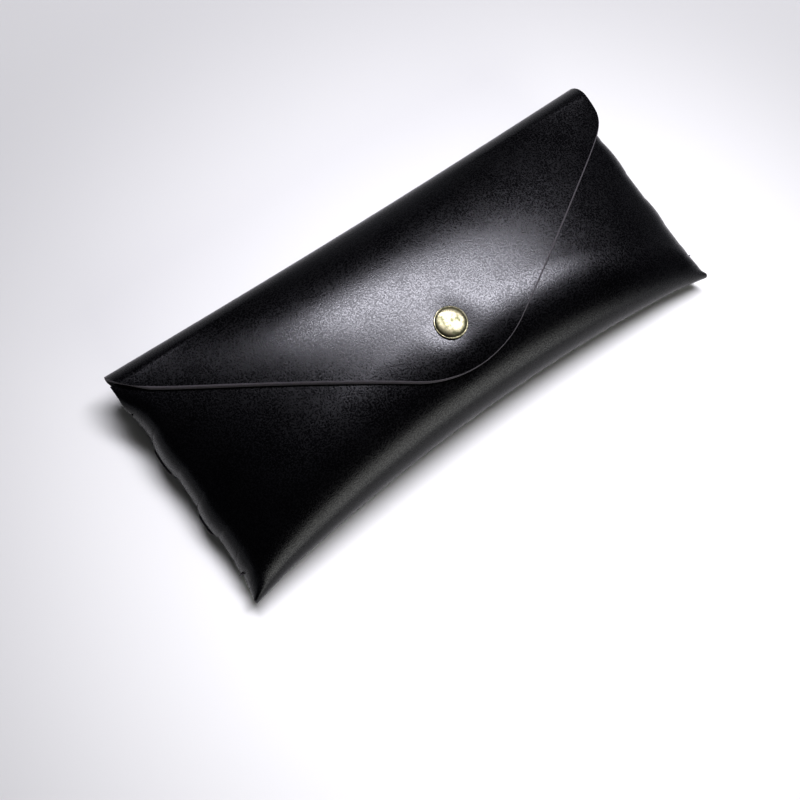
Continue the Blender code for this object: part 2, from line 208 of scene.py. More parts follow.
def fold_line(case, x):
    return case.fold_y - case.fold_sag * (1.0 - (x / CORNER_X) ** 2)


def fold_radius(x):
    return mix(CORNER_FOLD, MIDDLE_FOLD, fullness(x))


def fold_height(x):
    return mix(CORNER_FOLD_Z, MIDDLE_FOLD_Z, fullness(x))


def fold_lean(x):
    """Slope, in radians, at which the flap leaves its fold: it runs down to the fold from a full middle."""
    return FOLD_LEAN * fullness(x)


def fold_start(case, x):
    """Y where the flap's leather leaves the round of the fold."""
    radius = fold_radius(x)
    return fold_line(case, x) - radius + radius * np.sin(fold_lean(x))


def across(case, x, share):
    low = bottom_line(case, x)
    return low + (fold_start(case, x) - low) * share


def share_at(case, x, y):
    low = bottom_line(case, x)
    return (y - low) / (fold_start(case, x) - low)


def nose_height(x):
    return mix(CORNER_NOSE, MIDDLE_NOSE, fullness(x))


def seam_height(share):
    return mix(SEAM_LOW, SEAM_HIGH, np.clip(share, 0.0, 1.0))


def free_front(case, x, share):
    """Height of the front's outside before the seams and the stud pull at it."""
    full = fullness(x)
    nose = nose_height(x)
    lean = fold_lean(x)
    mouth = fold_height(x) + fold_radius(x) * np.cos(lean) - (case.leather + FLAP_GAP) / np.cos(lean)
    end_rise = CORNER_RISE + (mouth - nose - CORNER_RISE) * share
    past = np.clip((share - MIDDLE_ROLL) / (1.0 - MIDDLE_ROLL), 0.0, 1.0)
    drop = nose + case.middle_rise - mouth
    middle_rise = case.middle_rise - drop * past ** FRONT_FALL
    above = mix(end_rise, middle_rise, full)
    return nose + above * quarter(share, mix(CORNER_ROLL, MIDDLE_ROLL, full))


def around_stud(case, x, y, radius):
    """1 at the stud, fading out over about the radius."""
    return np.exp(-(x ** 2 + (y - case.cap_y) ** 2) / radius ** 2)


def seam_reach(share):
    """1 along the joined side, 0 at the bottom fold and at the flap's fold."""
    return rise(share, start=0.0, width=SEAM_END) * (1.0 - rise(share, start=0.78, width=0.24))


def span_bulge(y):
    """How far the side stands out between two tabs, 0 at a tab and 1 in the middle of a long span."""
    bulge = np.zeros_like(y)
    ends = [(tab[0] + tab[1] / 2, tab[0] - tab[1] / 2) for tab in TABS]
    starts = [UPPER_SPAN] + [low for high, low in ends]
    stops = [high for high, low in ends]
    for start, stop in zip(starts, stops):
        part = np.clip((start - y) / (start - stop), 0.0, 1.0)
        bulge += np.sin(math.pi * part) ** 0.7 * min(1.0, (start - stop) / WHOLE_SPAN)
    return bulge


def tab_cover(y):
    """1 where a tab wraps the side, 0 between tabs."""
    cover = np.zeros_like(y)
    for middle, width in TABS:
        cover = np.maximum(cover, rise(width / 2 + 0.1 - np.abs(y - middle), start=0.0, width=0.2))
    return cover


def side_line(case, y, share):
    """How far the rounded side reaches from the middle: dented at the tabs, fuller between them."""
    low_end = 1.0 - rise(share, start=0.0, width=0.16)
    spread = CORNER_SPREAD * low_end + MOUTH_SPREAD * rise(share, start=0.82, width=0.16)
    return case.half_length - SIDE_BASE + SIDE_BULGE * span_bulge(y) + spread


def flap_half(case, side):
    """From the middle to the flap's end on one side."""
    return np.where(side < 0, case.flap_left, case.flap_right)


def front_edge(case, y, share):
    """Cut edge of the front: each tab carries on round the side from it."""
    return side_line(case, y, share) - TAB_START * tab_cover(y)


def back_edge(case, y, share, side):
    """Cut edge of the back: just past the front between tabs, drawn in under the tabs."""
    bare = np.clip(span_bulge(y) * 1.4, 0.0, 1.0) ** 0.8
    past_side = mix(UNDER_TAB, BARE_LIP, bare) * rise(share, start=0.0, width=SEAM_END)
    fold_end = flap_half(case, side) - FOLD_TUCK
    return mix(side_line(case, y, share) + past_side, fold_end, rise(share, start=0.93, width=0.07))


def front_height(case, x, share, inward):
    """Height of the front's outside, rolled down to the seam over the last millimetres."""
    free = free_front(case, x, share)
    part = np.clip(inward / SIDE_SLOPE, 0.0, 1.0)
    rim = np.clip(inward / SIDE_RIM, 0.0, 1.0)
    pull = 0.6 * (1.0 - part) ** SLOPE_POWER + 0.4 * (1.0 - np.sqrt(1.0 - (1.0 - rim) ** 2))
    height = mix(free, seam_height(share) + FRONT_LIP, pull * seam_reach(share))
    depth, width = STUD_PULL
    return height - depth * around_stud(case, x, across(case, x, share), width)


def back_height(x, share, inward):
    """Height of the back's outside: flat on the table at the middle, lifted at the ends."""
    end = rise(np.abs(x) / CORNER_X, start=0.6, width=0.4)
    under = fold_height(x) - fold_radius(x)
    to_fold = under * rise(share, start=0.72, width=0.28)
    flat = mix(to_fold, np.maximum(to_fold, CORNER_UNDER), end)
    height = mix(nose_height(x), flat, quarter(share, mix(CORNER_ROLL, UNDER_ROLL, fullness(x))))
    part = np.clip(inward / UNDER_SLOPE, 0.0, 1.0)
    pull = 0.5 * (1.0 + np.cos(math.pi * part)) * seam_reach(share)
    return mix(height, seam_height(share) - BACK_LIP, pull)


def length_steps(count, end_count):
    """Stations from -1 to 1 along the case, drawn close together at both ends."""
    body = np.linspace(-0.9, 0.9, count)
    end = 0.9 + 0.1 * np.sin(np.linspace(0.0, math.pi / 2, end_count + 1)[1:])
    return np.concatenate((-end[::-1], body, end))


def grid_normals(grid):
    normal = np.cross(np.gradient(grid, axis=0), np.gradient(grid, axis=1))
    length = np.linalg.norm(normal, axis=2, keepdims=True)
    return normal / np.maximum(length, 1e-12)


def body_outside(case):
    """The outside of the sheet round the body, as columns of points from the flap's fold to the mouth."""
    steps = length_steps(71, 14)
    outward, side = np.abs(steps), np.sign(steps)
    end = rise(outward, start=0.9, width=0.1)
    plain = case.half_length - SIDE_INSET
    x_plain = steps * plain
    full = fullness(x_plain)
    columns = []

    def add_column(share, under):
        """One column of points at these shares, on the back if it is under and on the front if not."""
        y = across(case, steps * case.half_length, share)
        reach = back_edge(case, y, share, side) if under else front_edge(case, y, share)
        x = x_plain + side * (reach - plain) * end
        inward = np.maximum(side_line(case, y, share) - np.abs(x), 0.0)
        height = back_height(x, share, inward) if under else front_height(case, x, share, inward)
        columns.append(np.stack((x, across(case, x_plain, share), height), axis=1))

    x_fold = steps * mix(plain, flap_half(case, side) - FOLD_TUCK, end)
    radius = fold_radius(x_fold)
    for part in np.linspace(-0.12, 1.0, 12)[:-1]:
        angle = mix(FOLD_SPLITS[0] / radius, -math.pi / 2, part)
        columns.append(np.stack((x_fold, fold_line(case, x_fold) - radius + radius * np.cos(angle),
                                 fold_height(x_fold) + radius * np.sin(angle)), axis=1))
    back_roll, front_roll = mix(CORNER_ROLL, UNDER_ROLL, full), mix(CORNER_ROLL, MIDDLE_ROLL, full)
    for part in np.linspace(0.0, 1.0, 96) ** 1.1:
        add_column(mix(1.0, back_roll, part), under=True)
    for turn in np.linspace(math.radians(-87.0), 0.0, 14):
        add_column(back_roll * (1.0 - math.cos(turn)), under=True)
    for turn in np.linspace(0.0, ROUND_END, 18)[1:]:
        add_column(front_roll * (1.0 - math.cos(turn)), under=False)
    start = front_roll * (1.0 - math.cos(ROUND_END))
    mouth = mix(MOUTH, MOUTH_CORNER, rise(outward, start=0.8, width=0.18))
    for part in np.linspace(0.0, 1.0, 90)[1:]:
        add_column(mix(start, mouth, part), under=False)
    grid = np.stack(columns, axis=1)
    # The first column lies under the fold's own leather. It is there only for the next one's normals.
    return grid[:, 1:], grid_normals(grid)[:, 1:]


def flap_profile(case, x):
    """Points over the fold and down the flap at one station along X, from under the fold to past the tip."""
    radius, line = fold_radius(x), fold_line(case, x)
    angles = np.linspace(math.radians(-115.0), math.pi / 2 - fold_lean(x), FOLD_POINTS)
    fold = np.stack((line - radius + radius * np.cos(angles), fold_height(x) + radius * np.sin(angles)), 1)
    y = np.linspace(fold_start(case, x), -32.0, 320)[1:]
    front = free_front(case, x, share_at(case, x, y))
    slope = np.gradient(front, y)
    over = front + (case.leather + FLAP_GAP) * np.sqrt(1.0 + slope ** 2)
    press, swell = (amount * around_stud(case, x, y, width) for amount, width in (CAP_PRESS, CAP_SWELL))
    return np.concatenate((fold, np.stack((y, over - (press - swell)), 1)))


def flap_edge(case, along, side):
    """How far the flap reaches to one side, at a distance along the leather from the fold's line."""
    wide = case.flap_left if side < 0 else case.flap_right
    shoulder = case.shoulder_left if side < 0 else case.shoulder_right
    tucked = FOLD_TUCK * smooth(along / FOLD_SPLITS[0])
    centre = case.tip_reach - case.tip_radius
    tip_x = side * case.tip_shift
    reach = centre - shoulder
    slant = math.atan2(reach, wide - tip_x) + math.asin(case.tip_radius / math.hypot(reach, wide - tip_x))
    touch_x = tip_x + case.tip_radius * math.sin(slant)
    touch = centre + case.tip_radius * math.cos(slant)
    part = np.clip((touch - along) / (touch - shoulder), 0.0, 2.0)
    slanted = mix(touch_x, wide, part)
    gap = (wide - slanted) / case.shoulder_round
    limited = wide - case.shoulder_round * np.log1p(np.exp(np.clip(gap, -30.0, 30.0)))
    rounded = tip_x + np.sqrt(np.maximum(case.tip_radius ** 2 - (along - centre) ** 2, 0.0))
    return side * (np.where(along <= touch, limited, rounded) - tucked)


class FlapSurface:
    """The outside of the fold and the flap, found by X and by distance along the leather."""

    def __init__(self, case):
        self.x = np.linspace(-90.0, 90.0, 121)
        self.s = np.arange(-14.0, 80.0, ALONG_STEP)
        self.y = np.zeros((len(self.x), len(self.s)))
        self.z = np.zeros_like(self.y)
        for row, x in enumerate(self.x):
            profile = flap_profile(case, np.float64(x))
            step = np.hypot(*np.diff(profile, axis=0).T)
            along = np.concatenate(([0.0], np.cumsum(step)))
            along -= np.interp(0.0, profile[:FOLD_POINTS, 1] - fold_height(x), along[:FOLD_POINTS])
            self.y[row] = np.interp(self.s, along, profile[:, 0])
            self.z[row] = np.interp(self.s, along, profile[:, 1])

    def points(self, x, s):
        column = np.clip((x - self.x[0]) / (self.x[1] - self.x[0]), 0, len(self.x) - 1.001)
        row = np.clip((s - self.s[0]) / ALONG_STEP, 0, len(self.s) - 1.001)
        i, j = column.astype(int), row.astype(int)
        a, b = column - i, row - j
        found = []
        for table in (self.y, self.z):
            found.append((table[i, j] * (1 - a) + table[i + 1, j] * a) * (1 - b)
                         + (table[i, j + 1] * (1 - a) + table[i + 1, j + 1] * a) * b)
        return np.stack((x, found[0], found[1]), axis=-1)


def flap_outside(case, along):
    """Points and normals over the fold and the flap at the given distances along the leather."""
    surface = FlapSurface(case)
    steps = length_steps(97, 10)
    tip_half = 0.4
    grid = np.zeros((len(steps), len(along), 3))
    normals = np.zeros_like(grid)
    for column, s in enumerate(along):
        low, high = (float(flap_edge(case, np.float64(s), side)) for side in (-1.0, 1.0))
        low, high = min(low, case.tip_shift - tip_half), max(high, case.tip_shift + tip_half)
        x = mix(low, high, (steps + 1.0) / 2.0)
        place = np.full_like(x, s)
        grid[:, column] = surface.points(x, place)
        normals[:, column] = np.cross(surface.points(x + 0.8, place) - surface.points(x - 0.8, place),
                                      surface.points(x, place - 0.5) - surface.points(x, place + 0.5))
    normals /= np.linalg.norm(normals, axis=2, keepdims=True)
    return grid, normals


# --- meshes ---------------------------------------------------------------------------------------
EDGE_ROUND = math.radians(40.0)    # how far the light turns round each side of a cut edge


def new_object(name, points, faces, materials, face_materials=None, corner_normals=None):
    mesh = bpy.data.meshes.new(name)
    mesh.from_pydata((np.asarray(points) * MM).tolist(), [], faces)
    for material in materials:
        mesh.materials.append(material)
    if face_materials is not None:
        mesh.polygons.foreach_set("material_index", face_materials)
    mesh.polygons.foreach_set("use_smooth", [True] * len(mesh.polygons))
    if corner_normals is not None:
        mesh.normals_split_custom_set(np.asarray(corner_normals).tolist())
    mesh.update()
    piece = bpy.data.objects.new(name, mesh)
    bpy.context.scene.collection.objects.link(piece)
    return piece


def edge_ring(rows, columns):
    """Grid indices round the edge of a sheet, in order, as runs of (row, column)."""
    top = [(row, 0) for row in range(rows)]
    right = [(rows - 1, column) for column in range(columns)]
    bottom = [(row, columns - 1) for row in range(rows - 1, -1, -1)]
    left = [(0, column) for column in range(columns - 1, -1, -1)]
    return top[:-1] + right[:-1] + bottom[:-1] + left[:-1]


def leather_sheet(name, grid, normals, thickness, materials, bulge=0.12, layers=4, bevel=None):
    """A sheet of leather: finished side out, rough side in, and a slightly rounded cut edge all round.

    The cut edge swells by the bulge and is drawn in that many layers. The bevel says, at each point of
    the grid, how far the rough side reaches past the finished side.
    """
    rows, columns = grid.shape[:2]
    inside = grid - normals * thickness
    count = rows * columns
    points = [grid.reshape(-1, 3), inside.reshape(-1, 3)]
    flat_normals = normals.reshape(-1, 3)
    index = np.arange(count).reshape(rows, columns)
    a, b = index[:-1, :-1].ravel(), index[1:, :-1].ravel()
    c, d = index[1:, 1:].ravel(), index[:-1, 1:].ravel()
    outer_faces = np.stack((a, b, c, d), 1)
    faces = outer_faces.tolist() + (outer_faces[:, ::-1] + count).tolist()
    marks = [0] * len(outer_faces) + [1] * len(outer_faces)
    corners = [flat_normals[outer_faces.ravel()], -flat_normals[outer_faces[:, ::-1].ravel()]]

    ring = np.array([index[place] for place in edge_ring(rows, columns)])
    slant = np.zeros((len(ring), 1)) if bevel is None else bevel.reshape(-1, 1)[ring]
    edge_points = grid.reshape(-1, 3)[ring]
    edge_normals = flat_normals[ring]
    tangent = np.roll(edge_points, -1, 0) - np.roll(edge_points, 1, 0)
    outward = np.cross(tangent, edge_normals)
    outward /= np.maximum(np.linalg.norm(outward, axis=1, keepdims=True), 1e-12)
    loops = [ring]
    for layer in range(1, layers + 1):
        part = layer / layers
        spread = slant * part + bulge * math.sin(math.pi * part)
        place = edge_points - edge_normals * thickness * part + outward * spread
        loops.append(np.arange(len(ring)) + sum(len(p) for p in points))
        points.append(place)
    wall_normals = []
    for layer in range(layers + 1):
        lean = mix(EDGE_ROUND, -EDGE_ROUND, layer / layers) + np.arctan2(slant, thickness)
        wall_normals.append(outward * np.cos(lean) + edge_normals * np.sin(lean))
    for layer in range(layers):
        near, far = loops[layer], loops[layer + 1]
        following = np.roll(np.arange(len(ring)), -1)
        wall = np.stack((near, far, far[following], near[following]), 1)
        faces += wall.tolist()
        marks += [2] * len(wall)
        stacked = np.stack((wall_normals[layer], wall_normals[layer + 1],
                            wall_normals[layer + 1][following], wall_normals[layer][following]), 1)
        corners.append(stacked.reshape(-1, 3))
    near, far = loops[-1], ring + count
    faces += np.stack((near, far, far[following], near[following]), 1).tolist()
    marks += [1] * len(ring)
    corners.append(-np.repeat(edge_normals, 4, axis=0))
    return new_object(name, np.concatenate(points), faces, materials, marks, np.concatenate(corners))


def turned(name, profile, centre, steps, material):
    """A round part: a closed outline of (radius, height) turned about an upright line."""
    points, faces, rings = [], [], []
    for radius, height in profile:
        if radius < 1e-6:
            rings.append([len(points)])
            points.append((0.0, 0.0, height))
            continue
        rings.append(list(range(len(points), len(points) + steps)))
        for step in range(steps):
            angle = 2.0 * math.pi * step / steps
            points.append((radius * math.cos(angle), radius * math.sin(angle), height))
    pairs = list(zip(rings, rings[1:]))
    if len(rings[0]) > 1:
        pairs.append((rings[-1], rings[0]))
    for near, far in pairs:
        for step in range(steps):
            after = (step + 1) % steps
            if len(near) == 1:
                faces.append((near[0], far[step], far[after]))
            elif len(far) == 1:
                faces.append((near[after], near[step], far[0]))
            else:
                faces.append((near[after], near[step], far[step], far[after]))
    return new_object(name, np.array(points) + np.array(centre), faces, [material])


# --- materials ------------------------------------------------------------------------------------
def socket(group, name, way, default=None):
    made = group.interface.new_socket(name=name, in_out=way, socket_type="NodeSocketFloat")
    if default is not None:
        made.default_value = default


def noise(nodes, scale=None, detail=None, roughness=None):
    made = nodes.new("ShaderNodeTexNoise")
    for name, value in (("Scale", scale), ("Detail", detail), ("Roughness", roughness)):
        if value is not None:
            made.inputs[name].default_value = value
    return made


def sum_node(nodes, operation, second=None):
    """A Math node, with its second value set unless it is to be linked."""
    made = nodes.new("ShaderNodeMath")
    made.operation = operation
    if second is not None:
        made.inputs[1].default_value = second
    return made


def grain_group():
    """Fine leather grain: pebbles between creases, faint pores and slow swells, as a height and a mask."""
    found = bpy.data.node_groups.get("leather grain")
    if found:
        return found
    group = bpy.data.node_groups.new("leather grain", "ShaderNodeTree")
    socket(group, "Size", "INPUT", 2600.0)
    socket(group, "Swell", "INPUT", 0.3)
    socket(group, "Height", "OUTPUT")
    socket(group, "Patches", "OUTPUT")
    nodes, links = group.nodes, group.links
    entry = nodes.new("NodeGroupInput")
    leave = nodes.new("NodeGroupOutput")
    place = nodes.new("ShaderNodeTexCoord")
    pebble = nodes.new("ShaderNodeTexVoronoi")
    pebble.feature = "SMOOTH_F1"
    pebble.inputs["Randomness"].default_value = 0.9
    pore = noise(nodes, detail=5.0, roughness=0.65)
    swell = noise(nodes, scale=110.0, detail=2.0)
    patches = noise(nodes, scale=45.0, detail=3.0)
    pore_size = sum_node(nodes, "MULTIPLY", 1.7)
    grain = sum_node(nodes, "MULTIPLY_ADD", 0.8)
    height = sum_node(nodes, "MULTIPLY_ADD")
    for node in (pebble, pore, swell, patches):
        links.new(place.outputs["Object"], node.inputs["Vector"])
    links.new(entry.outputs["Size"], pebble.inputs["Scale"])
    links.new(entry.outputs["Size"], pore_size.inputs[0])
    links.new(pore_size.outputs[0], pore.inputs["Scale"])
    links.new(pebble.outputs["Distance"], grain.inputs[0])
    links.new(pore.outputs["Fac"], grain.inputs[2])
    links.new(swell.outputs["Fac"], height.inputs[0])
    links.new(entry.outputs["Swell"], height.inputs[1])
    links.new(grain.outputs[0], height.inputs[2])
    links.new(height.outputs[0], leave.inputs["Height"])
    links.new(patches.outputs["Fac"], leave.inputs["Patches"])
    return group


def fresh_material(name):
    material = bpy.data.materials.new(name)
    material.use_nodes = True
    tree = material.node_tree
    return material, tree.nodes, tree.links, tree.nodes["Principled BSDF"]


def ramp_of(nodes, stops):
    ramp = nodes.new("ShaderNodeValToRGB")
    elements = ramp.color_ramp.elements
    while len(elements) < len(stops):
        elements.new(0.5)
    for element, (position, colour) in zip(elements, stops):
        element.position = position
        element.color = (*colour, 1.0)
    return ramp


def times(colour, factor):
    return tuple(channel * factor for channel in colour)


def grain_node(nodes, size, swell):
    """The shared grain at its own size, in cells per metre."""
    grain = nodes.new("ShaderNodeGroup")
    grain.node_tree = grain_group()
    grain.inputs["Size"].default_value = size
    grain.inputs["Swell"].default_value = swell
    return grain


def add_bump(nodes, links, shader, height, strength, distance):
    """Let a height tilt the shader's surface; the distance is in metres."""
    bump = nodes.new("ShaderNodeBump")
    bump.inputs["Strength"].default_value = strength
    bump.inputs["Distance"].default_value = distance
    links.new(height, bump.inputs["Height"])
    links.new(bump.outputs["Normal"], shader.inputs["Normal"])


def leather_finish(name, colours):
    """Smooth black leather with a satin finish and a fine grain, duller where the grain stands up."""
    material, nodes, links, shader = fresh_material(name)
    grain = grain_node(nodes, size=2300.0, swell=0.25)
    tint = ramp_of(nodes, ((0.3, times(colours.leather, 0.8)), (0.7, times(colours.leather, 1.25))))
    rough = nodes.new("ShaderNodeMapRange")
    for side, value in (("From Min", 0.7), ("From Max", 1.1), ("To Min", 0.14), ("To Max", 0.34)):
        rough.inputs[side].default_value = value
    links.new(grain.outputs["Patches"], tint.inputs["Fac"])
    links.new(grain.outputs["Height"], rough.inputs["Value"])
    links.new(tint.outputs["Color"], shader.inputs["Base Color"])
    links.new(rough.outputs["Result"], shader.inputs["Roughness"])
    add_bump(nodes, links, shader, grain.outputs["Height"], strength=0.22, distance=0.00012)
    shader.inputs["Specular IOR Level"].default_value = 0.5
    return material


def flesh_finish(name, colours):
    """The sheet's rough side: short suede nap, mottled by the grain and by slow patches."""
    material, nodes, links, shader = fresh_material(name)
    grain = grain_node(nodes, size=5200.0, swell=0.6)
    tint = ramp_of(nodes, ((0.35, times(colours.flesh, 0.45)), (0.65, times(colours.flesh, 1.6))))
    mottle = sum_node(nodes, "MULTIPLY_ADD", 0.45)
    lower = sum_node(nodes, "SUBTRACT", 0.42)
    links.new(grain.outputs["Height"], mottle.inputs[0])
    links.new(grain.outputs["Patches"], mottle.inputs[2])
    links.new(mottle.outputs[0], lower.inputs[0])
    links.new(lower.outputs[0], tint.inputs["Fac"])
    links.new(tint.outputs["Color"], shader.inputs["Base Color"])
    add_bump(nodes, links, shader, grain.outputs["Height"], strength=0.6, distance=0.0002)
    shader.inputs["Roughness"].default_value = 0.9
    shader.inputs["Sheen Weight"].default_value = 0.15
    return material


def cut_edge_finish(name, colours):
    """Raw cut edge: pale fibres in a dyed sheet."""
    material, nodes, links, shader = fresh_material(name)
    grain = grain_node(nodes, size=4200.0, swell=0.8)
    tint = ramp_of(nodes, ((0.25, times(colours.cut_edge, 0.35)), (0.75, times(colours.cut_edge, 1.4))))
    links.new(grain.outputs["Height"], tint.inputs["Fac"])
    links.new(tint.outputs["Color"], shader.inputs["Base Color"])
    add_bump(nodes, links, shader, grain.outputs["Height"], strength=0.8, distance=0.0002)
    shader.inputs["Roughness"].default_value = 0.8
    return material


# The sheet's finishes in the order of its material slots: finished side, rough side, cut edge.
LEATHER_FINISHES = (("black leather", leather_finish), ("suede side", flesh_finish),
                    ("cut edge", cut_edge_finish))


def leather_set():
    """The sheet's finishes, each made once."""
    colours = bpy.context.scene.glasses_case_colours
    return [bpy.data.materials.get(name) or build(name, colours) for name, build in LEATHER_FINISHES]


def cloudy_metal(name, clouds_scale, stops):
    """Metal whose roughness follows slow clouds. Gives back the clouds too."""
    material, nodes, links, shader = fresh_material(name)
    place = nodes.new("ShaderNodeTexCoord")
    clouds = noise(nodes, scale=clouds_scale)
    rough = ramp_of(nodes, [(position, (value,) * 3) for position, value in stops])
    links.new(place.outputs["Object"], clouds.inputs["Vector"])
    links.new(clouds.outputs["Fac"], rough.inputs["Fac"])
    links.new(rough.outputs["Color"], shader.inputs["Roughness"])
    shader.inputs["Metallic"].default_value = 1.0
    return material, nodes, links, shader, clouds


def brass_finish(colours):
    """Aged brass: soft clouds of tarnish and fine wear."""
    material, nodes, links, shader, clouds = cloudy_metal("aged brass", 560.0, ((0.35, 0.45), (0.65, 0.27)))
    clouds.inputs["Detail"].default_value = 6.0
    clouds.inputs["Roughness"].default_value = 0.6
    red, green, blue = colours.brass
    tint = ramp_of(nodes, ((0.35, (red * 0.34, green * 0.37, blue * 0.33)), (0.62, (red, green, blue))))
    links.new(clouds.outputs["Fac"], tint.inputs["Fac"])
    links.new(tint.outputs["Color"], shader.inputs["Base Color"])
    add_bump(nodes, links, shader, clouds.outputs["Fac"], strength=0.12, distance=0.0001)
    return material


def steel_finish():
    """Bright spring wire."""
    material, nodes, links, shader, clouds = cloudy_metal("spring steel", 900.0, ((0.3, 0.25), (0.7, 0.4)))
    shader.inputs["Base Color"].default_value = (0.55, 0.55, 0.56, 1.0)
    return material


# --- operators ------------------------------------------------------------------------------------
class CASE_OT_body_leather(bpy.types.Operator):
    """Build the back, the bottom fold and the front as one sheet"""

    bl_idname = "glasses_case.body_leather"
    bl_label = "Body leather"

    def execute(self, context):
        case = context.scene.glasses_case_sizes
        grid, normals = body_outside(case)
        sheet = leather_sheet("body_leather", grid, normals, case.leather, leather_set())
        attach(sheet, "pouch")
        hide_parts("back_panel", "bottom_fold", "front_panel")
        return {"FINISHED"}


def tab_outside(case, side, middle, width):
    """Outside of a tab: out of the front, round the side, under the back and into its slot."""
    grid = []
    for y in middle + width * np.linspace(-0.5, 0.5, 15):
        share = share_at(case, side * (case.half_length - SIDE_INSET), y)
        edge = float(side_line(case, np.array([y]), share)[0])
        over = np.linspace(TAB_START + 0.6, 0.0, 10)
        z_over = front_height(case, edge - over, share, over) - 0.02
        z_over -= 0.3 * rise(over, start=TAB_START, width=0.4)
        under_back = case.leather + 0.1
        low = back_height(edge - TAB_ROUND, share, TAB_ROUND) - under_back
        turn = np.linspace(0.0, math.pi / 2, 12)[1:]
        z_turn = low + (z_over[-1] - low) * (1.0 - np.sin(turn))
        under = np.linspace(TAB_ROUND, TAB_UNDER, 8)[1:]
        z_under = back_height(edge - under, share, under) - under_back
        tuck = np.linspace(0.0, 1.0, 6)[1:]
        z_tuck = z_under[-1] + TAB_TUCK[1] * tuck ** 1.5
        x = side * np.concatenate((edge - over, edge - TAB_ROUND + TAB_ROUND * np.cos(turn), edge - under,
                                   edge - TAB_UNDER - TAB_TUCK[0] * tuck))
        z = np.concatenate((z_over, z_turn, z_under, z_tuck))
        grid.append(np.stack((x, np.full_like(x, y), z), 1))
    grid = np.array(grid[::-1] if side > 0 else grid)
    return grid, grid_normals(grid)


class CASE_OT_side_tabs(bpy.types.Operator):
    """Build the tabs that hold the sides together"""

    bl_idname = "glasses_case.side_tabs"
    bl_label = "Side tabs"

    def execute(self, context):
        case = context.scene.glasses_case_sizes
        for side, side_name in ((-1.0, "left"), (1.0, "right")):
            for number, (middle, width) in enumerate(TABS, start=1):
                grid, normals = tab_outside(case, side, middle, width)
                name = f"{side_name}_tab_{number}"
                tab = leather_sheet(name + "_leather", grid, normals, case.leather, leather_set(),
                                    bulge=0.1, layers=3)
                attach(tab, "pouch")
                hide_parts(name)
        return {"FINISHED"}


class CASE_OT_fold_leather(bpy.types.Operator):
    """Build the three zones of leather over the flap's fold"""

    bl_idname = "glasses_case.fold_leather"
    bl_label = "Flap fold"

    def execute(self, context):
        case = context.scene.glasses_case_sizes
        zones = (("fold_low_leather", "pouch", "fold_lower", (-84.0, -36.0), ()),
                 ("fold_middle_leather", "fold_lower", "fold_upper", (-24.0, 24.0),
                  ("hinge_fold_lower", "hinge_fold_upper")),
                 ("fold_high_leather", "fold_upper", "flap", (36.0, 84.0), ()))
        for number, (name, first, second, turns, nodes) in enumerate(zones):
            along = np.linspace(FOLD_SPLITS[number], FOLD_SPLITS[number + 1], 16)
            grid, normals = flap_outside(case, along)
            piece = leather_sheet(name, grid[::-1], normals[::-1], case.leather, leather_set())
            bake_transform(piece)
            if nodes:
                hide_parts(*nodes)
        return {"FINISHED"}


class CASE_OT_flap_leather(bpy.types.Operator):
    """Build the flap"""

    bl_idname = "glasses_case.flap_leather"
    bl_label = "Flap"

    def execute(self, context):
        case = context.scene.glasses_case_sizes
        tip_start = case.tip_reach - TIP_LENGTH
        tip = tip_start + TIP_LENGTH * np.sin(np.linspace(0.0, math.pi / 2, 16))[1:]
        along = np.concatenate((np.linspace(FOLD_SPLITS[3], tip_start, 84), tip))
        grid, normals = flap_outside(case, along)
        bevel = np.tile(EDGE_SLANT * rise(along, start=along[0], width=5.0), (len(grid), 1))
        piece = leather_sheet("flap_leather", grid[::-1], normals[::-1], case.leather, leather_set(),
                              bevel=bevel)
        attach(piece, "flap")
        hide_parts("flap")
        return {"FINISHED"}


# Radii of the press stud's parts. Their heights are given from the leather that each sits on.
SHANK, SOCKET, SPRING, SPRING_WIRE, STUD_FOOT, POST_HEAD = 1.1, 4.6, 2.95, 0.3, 4.0, 4.1


def cap_outline(radius, base):
    """Domed cap with a narrow rolled rim, as (radius, height)."""
    dome = [(radius * 0.93 * math.sin(a), base + 0.62 + 0.72 * math.cos(a) - 0.12)
            for a in np.radians(np.linspace(0.0, 80.0, 14))]
    groove = [(radius * 0.925, base + 0.56), (radius * 0.94, base + 0.54)]
    rim = [(radius * (0.96 + 0.04 * math.sin(a)), base + 0.35 + 0.26 * math.cos(a))
           for a in np.radians(np.linspace(0.0, 180.0, 10))]
    return dome + groove + rim + [(radius * 0.9, base - 0.05), (SHANK, base - 0.1)]


